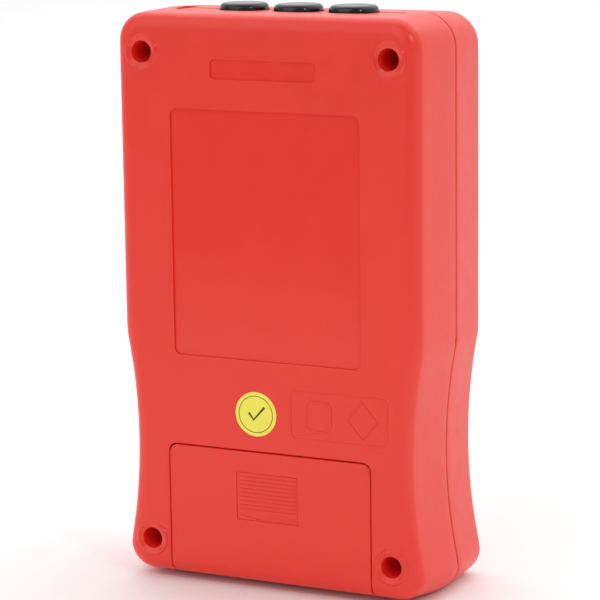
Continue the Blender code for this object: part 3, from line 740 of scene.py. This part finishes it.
def make_rear_shell():
    edges = ((DOORWAY[2],), (DOORWAY[1] + DOORWAY[3],))
    shell = shell_solid("rear_case_shell", 0.0, BACK_FILLET, rear_stations(), edges, back_detail)
    cutters = pocket_cutters()
    cutters.append(plate_cutter("doorway", DOORWAY, -CUT_PAST, DOOR_WRAP + 0.5 * MM))
    cutters.append(plate_cutter("label_recess", LABEL, -CUT_PAST, LABEL_SUNK))
    cutters.append(plate_cutter("slot_recess", SLOT, -CUT_PAST, SLOT_SUNK))
    for x in (-SCREW_X, SCREW_X):
        for i, z in enumerate(screw_heights()):
            start = (x, BACK - 6 * MM, z)
            cutters.append(rod(f"well_{x > 0}_{i}", start, BORE_R + BORE_WALL, 9 * MM, (0, 1, 0)))
    shell = carve(shell, cutters)
    finish_piece(shell, "case", "red_shell", red_rear, "rear_shell")
    shell.data.materials.append(red_polished)
    for face in shell.data.polygons:
        x, y, z = face.center
        for spec, deep in ((LABEL, LABEL_SUNK), (SLOT, SLOT_SUNK)):
            if abs(BACK - y - deep) < 0.05 * MM and rounded(x, z, spec) < 0:
                face.material_index = 1


def make_screw_wells():
    """A ring that rises away from each screw hole to a rounded crest, and a deep bore behind it."""
    foot = BORE_R + BORE_WALL
    top = -0.9 * MM
    profile = [(BORE_R, -0.15 * MM)] + [(radius * MM, height * MM) for radius, height in RING]
    profile += [(foot, top), (BORE_R, top)]
    sleeve = [(BORE_R, top), (BORE_R, -BORE_DEPTH), (foot, -BORE_DEPTH), (foot, top)]
    for i in range(4):
        low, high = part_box(f"case_screw_{i + 1}")
        centre = ((low[0] + high[0]) / 2, BACK, (low[2] + high[2]) / 2)
        well = turned(f"screw_ring_{i + 1}", profile, centre, (0, 1, 0), sides=80, closed=True)
        finish_piece(well, "case", "red_shell", red_polished)
        bore = turned(f"screw_bore_{i + 1}", sleeve, centre, (0, 1, 0), sides=80, closed=True)
        # The bore gets the painted glow copy of the red, a lit copy of the shell's plastic.
        finish_piece(bore, "case", "red_shell", red_bore_glow)


def make_moulded_frame():
    """A faint moulded frame beside the sticker with two plain moulded shapes in it."""
    y = BACK - 0.02 * MM
    frame_line = tube("moulded_frame", rounded_loop(MARKS_FRAME, y), 0.18 * MM, True)
    square = tube("moulded_square", rounded_loop(MARKS_SQUARE, y), 0.26 * MM, True)
    middle, half_x, half_z = MARKS_DIAMOND
    corners = []
    for turn in (0, math.pi / 2, math.pi, 3 * math.pi / 2):
        corners.append((middle + half_x * math.sin(turn), y, MARKS_Z + half_z * math.cos(turn)))
    diamond = tube("moulded_diamond", corners, 0.26 * MM, True)
    for mark in (frame_line, square, diamond):
        finish_piece(mark, "case", "red_shell", red_rear)


def rounded_loop(spec, y):
    """Points round a rounded rectangle from its (centre x, half x, half z, corner)."""
    middle, half_x, half_z, corner = spec
    points = []
    for quarter, (side_x, side_z) in enumerate(((1, 1), (-1, 1), (-1, -1), (1, -1))):
        for i in range(7):
            turn = math.pi / 2 * (quarter + i / 6)
            x = middle + side_x * (half_x - corner) + corner * math.cos(turn)
            z = MARKS_Z + side_z * (half_z - corner) + corner * math.sin(turn)
            points.append((x, y, z))
    return points


def make_grip():
    """Nine ribs over a pointer, with a small triangle on each side of its tip, in the door's pad."""
    top = BACK - 0.06 * MM
    floor = BACK - GRIP_SUNK - 0.1 * MM
    half = RIB_PITCH / 2 - 0.2 * MM
    work = bmesh.new()
    for i in range(RIB_COUNT):
        low = RIB_TOP - i * RIB_PITCH - half
        high = RIB_TOP - i * RIB_PITCH + half
        rib = [(-RIB_HALF, low), (RIB_HALF, low), (RIB_HALF, high), (-RIB_HALF, high)]
        prism(work, rib, floor, top)
    tip = GRIP[1] - GRIP[3] + 0.25 * MM
    pointer = [(-RIB_HALF, POINTER_TAIL), (0.0, tip), (RIB_HALF, POINTER_TAIL)]
    pointer += [(RIB_HALF, POINTER_TOP), (-RIB_HALF, POINTER_TOP)]
    prism(work, pointer, floor, top)
    inner = 2.2 * MM
    side = POINTER_TAIL - 0.4 * MM
    prism(work, [(-RIB_HALF, tip), (-inner, tip), (-RIB_HALF, side)], floor, top)
    prism(work, [(inner, tip), (RIB_HALF, tip), (RIB_HALF, side)], floor, top)
    edges = [e for e in work.edges if all(v.co.y > BACK - 0.1 * MM for v in e.verts)]
    bmesh.ops.bevel(work, geom=edges, offset=0.08 * MM, segments=2, profile=0.5, affect="EDGES")
    bmesh.ops.recalc_face_normals(work, faces=work.faces)
    finish_piece(bake(link_work("grip_ribs", work), 30), "door", "red_shell", red_door)


def prism(work, outline, near, far):
    """Adds a prism along Y with an outline in X and Z."""
    low = [work.verts.new((x, near, z)) for x, z in outline]
    high = [work.verts.new((x, far, z)) for x, z in outline]
    work.faces.new(low)
    work.faces.new(list(reversed(high)))
    for i in range(len(low)):
        j = (i + 1) % len(low)
        work.faces.new((low[j], low[i], high[i], high[j]))


def make_battery_door():
    edges = ((DOOR[2],), (DOOR[1] + DOOR[3],))
    door = shell_solid("door_panel", 0.0, BACK_FILLET, rear_stations(), edges, door_detail)
    door = carve(door, [plate_cutter("door_outline", DOOR, -CUT_PAST, DOOR_WRAP)], "INTERSECT")
    door = carve(door, [plate_cutter("grip_recess", GRIP, -CUT_PAST, GRIP_SUNK)])
    finish_piece(door, "door", "red_shell", red_door, "battery_door")


def make_doorway_ledge():
    """The case's ledge behind the door's top edge."""
    low = (-27.5 * MM, BACK - 3.3 * MM, 34.6 * MM)
    high = (27.5 * MM, BACK - 2.4 * MM, 36.8 * MM)
    ledge = block("doorway_ledge", low, high, 0.3 * MM, axis=0, segments=3)
    finish_piece(ledge, "case", "red_shell", red_rear)


def make_door_rails():
    """The two rails on the door's inner face."""
    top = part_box("battery_door")[1][2] - 2 * MM
    for name, side in (("door_rail_right", -1), ("door_rail_left", 1)):
        left, right = sorted((side * RAIL[0], side * RAIL[1]))
        low = (left, BACK - 3.6 * MM, 8 * MM)
        high = (right, BACK - 2.4 * MM, top)
        rail = block(name, low, high, 0.4 * MM, axis=2, segments=3)
        finish_piece(rail, "door", "red_shell", red_door)


def make_front_shell():
    outlines = (WINDOW, DISPLAY_PANEL, MOUTH, SOCKET_PANEL)
    sides = [spec[2] for spec in outlines]
    heights = [spec[1] + way * spec[3] for spec in outlines for way in (-1, 1)]
    shell = shell_solid(
        "front_case_shell", DEPTH, FRONT_FILLET, front_stations(), (sides, heights), front_detail,
    )
    cutters = pocket_cutters()
    cutters.append(plate_cutter("window_seat", WINDOW, DEPTH - WINDOW_DEEP, DEPTH + CUT_PAST))
    cutters.append(plate_cutter("window_hole", VIEW, DEPTH - 5 * MM, DEPTH + CUT_PAST))
    cutters.append(plate_cutter("socket_mouth", MOUTH, DEPTH - 5 * MM, DEPTH + CUT_PAST))
    shell = carve(shell, cutters)
    finish_piece(shell, "case", "red_shell", red_front, "front_shell")


def make_parting_lip():
    """The front shell's inner lip, which closes the parting groove behind the rims."""
    work = bmesh.new()
    stations = ((19.3, 1.3), (22.5, 1.3), (22.5, 2.1), (19.3, 2.1))
    rings = []
    for depth, inset in stations:
        outline = Outline(depth * MM, inset * MM)
        half = [(section, i / 8) for section in range(7) for i in range(8)]
        right = [outline.point(s, t if s != 6 else 1 - t, 1) for s, t in half]
        left = [Vector((-p.x, p.y, p.z)) for p in reversed(right[1:])]
        top = outline.point(6, 0.0, 1)
        rings.append([work.verts.new(p) for p in right + [top] + left])
    for k in range(4):
        bridge(work, rings[k], rings[(k + 1) % 4])
    bmesh.ops.recalc_face_normals(work, faces=work.faces)
    lip_piece = carve(link_work("parting_lip", work), pocket_cutters())
    finish_piece(lip_piece, "case", "red_shell", red_front)


# Caps, sticker and details


def make_buttons():
    """Three round caps with a flat top, a wide rounded edge and a flange inside the case."""
    for node in ("button_left", "button_middle", "button_right"):
        low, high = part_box(node)
        centre = ((low[0] + high[0]) / 2, (low[1] + high[1]) / 2, high[2])
        profile = [(0.0, 0.0), (2.0 * MM, 0.0), (BUTTON_R - BUTTON_EDGE - 0.2 * MM, 0.0)]
        for i in range(9):
            turn = math.pi / 2 * i / 8
            radius = BUTTON_R - BUTTON_EDGE * (1 - math.sin(turn))
            profile.append((radius, -0.02 * MM - BUTTON_EDGE * (1 - math.cos(turn))))
        bottom = low[2] - high[2]
        profile += [
            (BUTTON_R, -3.9 * MM), (FLANGE_R, -4.3 * MM), (FLANGE_R, -5.4 * MM),
            (2.0 * MM, -5.5 * MM), (2.0 * MM, bottom + 0.2 * MM), (1.8 * MM, bottom), (0.0, bottom),
        ]
        cap = turned(f"cap_{node}", profile, centre, (0, 0, 1), sharp=50)
        finish_piece(cap, node, "button_black", black_gloss, node)


def make_sticker():
    """A round sticker with a plain tick inside a thin ring."""
    low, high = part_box("round_sticker")
    centre = ((low[0] + high[0]) / 2, BACK, (low[2] + high[2]) / 2)
    radius = (high[0] - low[0]) / 2
    profile = [
        (0.0, STICKER_TOP), (radius - 0.1 * MM, STICKER_TOP),
        (radius - 0.02 * MM, STICKER_TOP - 0.03 * MM), (radius, 0.0),
        (radius - 0.3 * MM, -0.1 * MM), (0.0, -0.1 * MM),
    ]
    disc = turned("sticker_disc", profile, centre, (0, 1, 0))
    finish_piece(disc, "case", "yellow_sticker", sticker_paper, "round_sticker")
    y = BACK + STICKER_TOP
    points = [(1.9, 0.3), (0.6, -1.4), (-2.4, 1.9)]
    tick = [(centre[0] + x * MM, y, centre[2] + z * MM) for x, z in points]
    mark = tube("sticker_tick", tick, 0.32 * MM)
    flatten(mark, y, 0.12)
    finish_piece(mark, "case", "yellow_sticker", sticker_ink)
    loop = []
    for i in range(64):
        turn = 2 * math.pi * i / 64
        x = centre[0] + STICKER_RING_R * math.cos(turn)
        loop.append((x, y, centre[2] + STICKER_RING_R * math.sin(turn)))
    ring = tube("sticker_ring", loop, 0.1 * MM, True)
    flatten(ring, y, 0.3)
    finish_piece(ring, "case", "yellow_sticker", sticker_ink)


def flatten(piece, y, keep):
    """Presses a printed line flat against the surface at y."""
    for vert in piece.data.vertices:
        vert.co.y = y + (vert.co.y - y) * keep


def set_material(paint, *nodes):
    for node in nodes:
        made = bpy.data.objects[node]
        made.data.materials.clear()
        made.data.materials.append(paint)
        made.data.shade_smooth()
        made.data.set_sharp_from_angle(angle=math.radians(35))


def nodes_like(start):
    return [name for name in frame["nodes"] if name.startswith(start)]


def paint_inner_nodes():
    set_material(steel, *nodes_like("case_screw"), *nodes_like("board_screw"), "crystal",
                 "battery_stud", "battery_socket")
    set_material(board_green, "main_board", "switch_board", "lcd_board")
    set_material(black_matt, "battery_tray", "microcontroller", "regulator", "switch_1", "switch_2",
                 "switch_3")
    set_material(vinyl, "snap_connector", "lead_black")
    set_material(red_lead, "lead_red")
    set_material(can_blue, "capacitor_1", "capacitor_2")
    set_material(frame_black, "lcd_frame")
    set_material(window_clear, "display_window")
    set_material(socket_green, "socket_base")
    set_material(lever_steel, "socket_lever")
    low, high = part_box("battery")
    copper = (0.35, 0.12, 0.03)
    dark = (0.02, 0.022, 0.03)
    bands = [(0.0, copper), (0.3, dark), (1.0, dark)]
    jacket = banded("battery_jacket", bands, 0.35, high[0], low[0])
    set_material(jacket, "battery")
    glass = moulded("display_glass", (0.30, 0.42, 0.06), 0.12, 4000.0, 0.01, 0.02)
    set_material(glass, "lcd_glass")


# Studio


def make_camera():
    """The camera that the object is seen from, looking slightly down from its right."""
    reach = math.cos(CAMERA_PITCH)
    sideways = math.sin(CAMERA_YAW) * reach
    inwards = -math.cos(CAMERA_YAW) * reach
    forward = Vector((sideways, inwards, -math.sin(CAMERA_PITCH)))
    level = forward.cross(Vector((0, 0, 1))).normalized()
    upright = level.cross(forward)
    right = level * math.cos(CAMERA_ROLL) + upright * math.sin(CAMERA_ROLL)
    up = upright * math.cos(CAMERA_ROLL) - level * math.sin(CAMERA_ROLL)
    turn = Matrix((right, up, -forward)).transposed().to_4x4()
    data = bpy.data.cameras.new("camera")
    data.sensor_width = 36.0
    data.lens = CAMERA_LENS
    data.clip_start = 0.01
    data.dof.use_dof = False
    made = link("camera", data)
    made.matrix_world = Matrix.Translation(Vector(CAMERA_PLACE)) @ turn
    bpy.context.scene.camera = made


def area_light(name, place, aim, size, power):
    data = bpy.data.lights.new(name, "AREA")
    data.shape = "RECTANGLE"
    data.size = size
    data.size_y = size
    data.energy = power
    made = link(name, data)
    made.location = place
    made.rotation_euler = (Vector(aim) - Vector(place)).to_track_quat("-Z", "Y").to_euler()


def make_world():
    """Soft light from all round, brighter from behind the object than from the camera's side."""
    world = bpy.data.worlds.new("studio")
    bpy.context.scene.world = world
    world.use_nodes = True
    tree = world.node_tree
    place = tree.nodes.new("ShaderNodeTexCoord")
    split = tree.nodes.new("ShaderNodeSeparateXYZ")
    fade = tree.nodes.new("ShaderNodeMapRange")
    fade.inputs["From Min"].default_value = -0.35
    fade.inputs["From Max"].default_value = 0.35
    fade.inputs["To Min"].default_value = 0.96
    fade.inputs["To Max"].default_value = 0.4
    back = tree.nodes["Background"]
    back.inputs["Color"].default_value = (1, 1, 1, 1)
    tree.links.new(place.outputs["Generated"], split.inputs["Vector"])
    tree.links.new(split.outputs["Y"], fade.inputs["Value"])
    tree.links.new(fade.outputs["Result"], back.inputs["Strength"])


def make_studio():
    make_world()
    middle = Vector((0, 0, HEIGHT / 2))
    area_light("key_light", middle + Vector((0.35, 0.75, 0.55)) * 1.4, middle, 1.5, 6.8)
    area_light("corner_light", middle + Vector((-0.72, 0.45, 0.53)) * 0.9, middle, 0.06, 0.8)
    area_light("top_light", Vector((0, -1.4, 1.7)), Vector((0, -1.4, 0)), 3.2, 24.0)
    floor = block("floor", (-6, -6, -0.02), (6, 0.36, -0.0002))
    paint, tree, shader = new_material("floor_paint", 0.7)
    stops = [(0.3, (0.96, 0.96, 0.96)), (0.7, (0.98, 0.98, 0.98))]
    tree.links.new(ramp(tree, noise(tree, 8.0), stops), shader.inputs["Base Color"])
    floor.data.materials.append(paint)
    bpy.context.scene.view_settings.view_transform = "Standard"


make_camera()
make_studio()
make_rear_shell()
make_screw_wells()
make_moulded_frame()
make_battery_door()
make_doorway_ledge()
make_door_rails()
make_grip()
make_front_shell()
make_parting_lip()
make_buttons()
make_sticker()
paint_inner_nodes()
